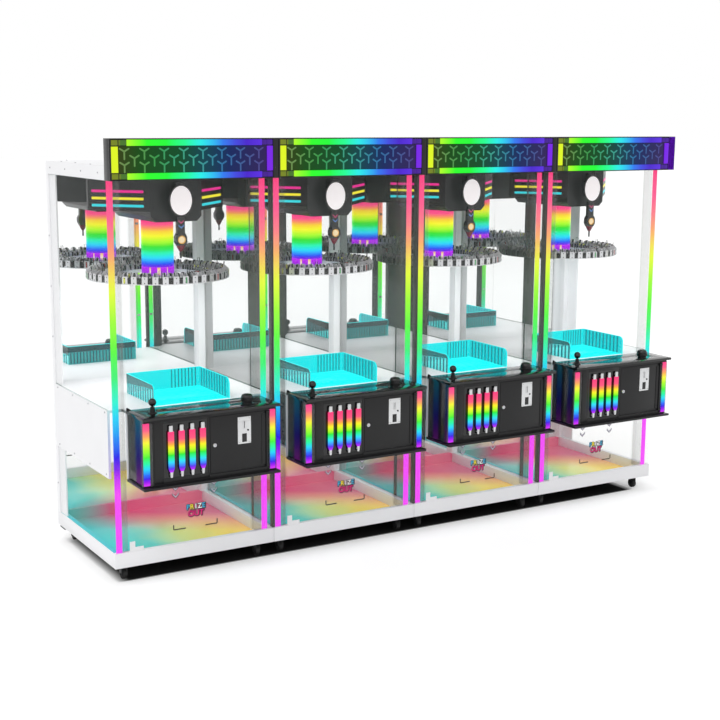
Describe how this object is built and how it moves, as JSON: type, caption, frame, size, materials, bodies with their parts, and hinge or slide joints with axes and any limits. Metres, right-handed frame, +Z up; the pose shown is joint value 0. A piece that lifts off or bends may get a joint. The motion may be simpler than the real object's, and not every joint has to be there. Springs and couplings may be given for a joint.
{
  "type": "coin pusher machine",
  "caption": "Bank of linked prize machines: glazed cabinets with a turning clip ring, dropping poker, clear tray, joystick, button, coin door and prize flap.",
  "frame": {"origin": "on the floor, at the middle of the bank's overall box", "axes": "+X along the bank, to the player's right; players stand on the -Y side; +Z up"},
  "size_m": [3.314, 1.033, 2.0315],
  "materials": {
    "white_panel": "satin white powder coat",
    "black_panel": "semi-gloss black",
    "dark_steel": "black painted steel",
    "black_plastic": "gloss",
    "sign_box": "gloss black with a lit front",
    "light_diffuser": "lit translucent sleeve",
    "clear_glass": "clear",
    "clear_acrylic": "clear",
    "teal_acrylic": "transparent teal",
    "clip_metal": "bright",
    "poker_metal": "gloss black with a gold collar",
    "mirror": "polished"
  },
  "bodies": {
    "bank": {"front_caster_strip": "dark_steel", "rear_caster_strip": "dark_steel", "back_panel": "white_panel", "rear_mirror": "mirror", "plinth_1": "white_panel", "frame_1": "white_panel", "glazing_1": "clear_glass", "tray_1": "teal_acrylic", "overhead_housing_1": "black_panel", "light_tower_1": "light_diffuser", "marquee_1": "sign_box", "control_box_1": "black_panel", "plinth_2": "white_panel", "frame_2": "white_panel", "glazing_2": "clear_glass", "tray_2": "teal_acrylic", "overhead_housing_2": "black_panel", "light_tower_2": "light_diffuser", "marquee_2": "sign_box", "control_box_2": "black_panel", "plinth_3": "white_panel", "frame_3": "white_panel", "glazing_3": "clear_glass", "tray_3": "teal_acrylic", "overhead_housing_3": "black_panel", "light_tower_3": "light_diffuser", "marquee_3": "sign_box", "control_box_3": "black_panel", "plinth_4": "white_panel", "frame_4": "white_panel", "glazing_4": "clear_glass", "tray_4": "teal_acrylic", "overhead_housing_4": "black_panel", "light_tower_4": "light_diffuser", "marquee_4": "sign_box", "control_box_4": "black_panel"},
    "ring_1": {"clip_ring_1": "clip_metal"},
    "poker_1": {"poker_1": "poker_metal"},
    "stick_1": {"joystick_1": "black_plastic"},
    "push_button_1": {"button_1": "black_plastic"},
    "coin_door_1": {"coin_door_1": "black_panel"},
    "prize_door_1": {"prize_door_1": "clear_acrylic"},
    "ring_2": {"clip_ring_2": "clip_metal"},
    "poker_2": {"poker_2": "poker_metal"},
    "stick_2": {"joystick_2": "black_plastic"},
    "push_button_2": {"button_2": "black_plastic"},
    "coin_door_2": {"coin_door_2": "black_panel"},
    "prize_door_2": {"prize_door_2": "clear_acrylic"},
    "ring_3": {"clip_ring_3": "clip_metal"},
    "poker_3": {"poker_3": "poker_metal"},
    "stick_3": {"joystick_3": "black_plastic"},
    "push_button_3": {"button_3": "black_plastic"},
    "coin_door_3": {"coin_door_3": "black_panel"},
    "prize_door_3": {"prize_door_3": "clear_acrylic"},
    "ring_4": {"clip_ring_4": "clip_metal"},
    "poker_4": {"poker_4": "poker_metal"},
    "stick_4": {"joystick_4": "black_plastic"},
    "push_button_4": {"button_4": "black_plastic"},
    "coin_door_4": {"coin_door_4": "black_panel"},
    "prize_door_4": {"prize_door_4": "clear_acrylic"}
  },
  "joints": [
    {"name": "ring_spin_1", "type": "hinge", "parent": "bank", "child": "ring_1", "pos_m": [-1.23, 0.1065, 1.3624], "axis": [0, 0, 1], "continuous": true},
    {"name": "poker_drop_1", "type": "slide", "parent": "bank", "child": "poker_1", "axis": [0, 0, -1], "range_m": [0, 0.09], "stiffness_N_per_m": 60, "springref_m": -0.12},
    {"name": "stick_tilt_1", "type": "hinge", "parent": "bank", "child": "stick_1", "pos_m": [-1.482, -0.4075, 0.811], "axis": [0, 1, 0], "range_deg": [-15, 15], "stiffness_Nm_per_rad": 0.8},
    {"name": "button_press_1", "type": "slide", "parent": "bank", "child": "push_button_1", "axis": [0, 0, -1], "range_m": [0, 0.004], "stiffness_N_per_m": 400, "springref_m": -0.006},
    {"name": "coin_door_hinge_1", "type": "hinge", "parent": "bank", "child": "coin_door_1", "pos_m": [-0.9515, -0.4938, 0.518], "axis": [0, 0, 1], "range_deg": [0, 110]},
    {"name": "prize_door_hinge_1", "type": "hinge", "parent": "bank", "child": "prize_door_1", "pos_m": [-1.23, -0.297, 0.4877], "axis": [1, 0, 0], "range_deg": [0, 75]},
    {"name": "ring_spin_2", "type": "hinge", "parent": "bank", "child": "ring_2", "pos_m": [-0.41, 0.1065, 1.3624], "axis": [0, 0, 1], "continuous": true},
    {"name": "poker_drop_2", "type": "slide", "parent": "bank", "child": "poker_2", "axis": [0, 0, -1], "range_m": [0, 0.09], "stiffness_N_per_m": 60, "springref_m": -0.12},
    {"name": "stick_tilt_2", "type": "hinge", "parent": "bank", "child": "stick_2", "pos_m": [-0.662, -0.4075, 0.811], "axis": [0, 1, 0], "range_deg": [-15, 15], "stiffness_Nm_per_rad": 0.8},
    {"name": "button_press_2", "type": "slide", "parent": "bank", "child": "push_button_2", "axis": [0, 0, -1], "range_m": [0, 0.004], "stiffness_N_per_m": 400, "springref_m": -0.006},
    {"name": "coin_door_hinge_2", "type": "hinge", "parent": "bank", "child": "coin_door_2", "pos_m": [-0.1315, -0.4938, 0.518], "axis": [0, 0, 1], "range_deg": [0, 110]},
    {"name": "prize_door_hinge_2", "type": "hinge", "parent": "bank", "child": "prize_door_2", "pos_m": [-0.41, -0.297, 0.4877], "axis": [1, 0, 0], "range_deg": [0, 75]},
    {"name": "ring_spin_3", "type": "hinge", "parent": "bank", "child": "ring_3", "pos_m": [0.41, 0.1065, 1.3624], "axis": [0, 0, 1], "continuous": true},
    {"name": "poker_drop_3", "type": "slide", "parent": "bank", "child": "poker_3", "axis": [0, 0, -1], "range_m": [0, 0.09], "stiffness_N_per_m": 60, "springref_m": -0.12},
    {"name": "stick_tilt_3", "type": "hinge", "parent": "bank", "child": "stick_3", "pos_m": [0.158, -0.4075, 0.811], "axis": [0, 1, 0], "range_deg": [-15, 15], "stiffness_Nm_per_rad": 0.8},
    {"name": "button_press_3", "type": "slide", "parent": "bank", "child": "push_button_3", "axis": [0, 0, -1], "range_m": [0, 0.004], "stiffness_N_per_m": 400, "springref_m": -0.006},
    {"name": "coin_door_hinge_3", "type": "hinge", "parent": "bank", "child": "coin_door_3", "pos_m": [0.6885, -0.4938, 0.518], "axis": [0, 0, 1], "range_deg": [0, 110]},
    {"name": "prize_door_hinge_3", "type": "hinge", "parent": "bank", "child": "prize_door_3", "pos_m": [0.41, -0.297, 0.4877], "axis": [1, 0, 0], "range_deg": [0, 75]},
    {"name": "ring_spin_4", "type": "hinge", "parent": "bank", "child": "ring_4", "pos_m": [1.23, 0.1065, 1.3624], "axis": [0, 0, 1], "continuous": true},
    {"name": "poker_drop_4", "type": "slide", "parent": "bank", "child": "poker_4", "axis": [0, 0, -1], "range_m": [0, 0.09], "stiffness_N_per_m": 60, "springref_m": -0.12},
    {"name": "stick_tilt_4", "type": "hinge", "parent": "bank", "child": "stick_4", "pos_m": [0.978, -0.4075, 0.811], "axis": [0, 1, 0], "range_deg": [-15, 15], "stiffness_Nm_per_rad": 0.8},
    {"name": "button_press_4", "type": "slide", "parent": "bank", "child": "push_button_4", "axis": [0, 0, -1], "range_m": [0, 0.004], "stiffness_N_per_m": 400, "springref_m": -0.006},
    {"name": "coin_door_hinge_4", "type": "hinge", "parent": "bank", "child": "coin_door_4", "pos_m": [1.5085, -0.4938, 0.518], "axis": [0, 0, 1], "range_deg": [0, 110]},
    {"name": "prize_door_hinge_4", "type": "hinge", "parent": "bank", "child": "prize_door_4", "pos_m": [1.23, -0.297, 0.4877], "axis": [1, 0, 0], "range_deg": [0, 75]}
  ]
}
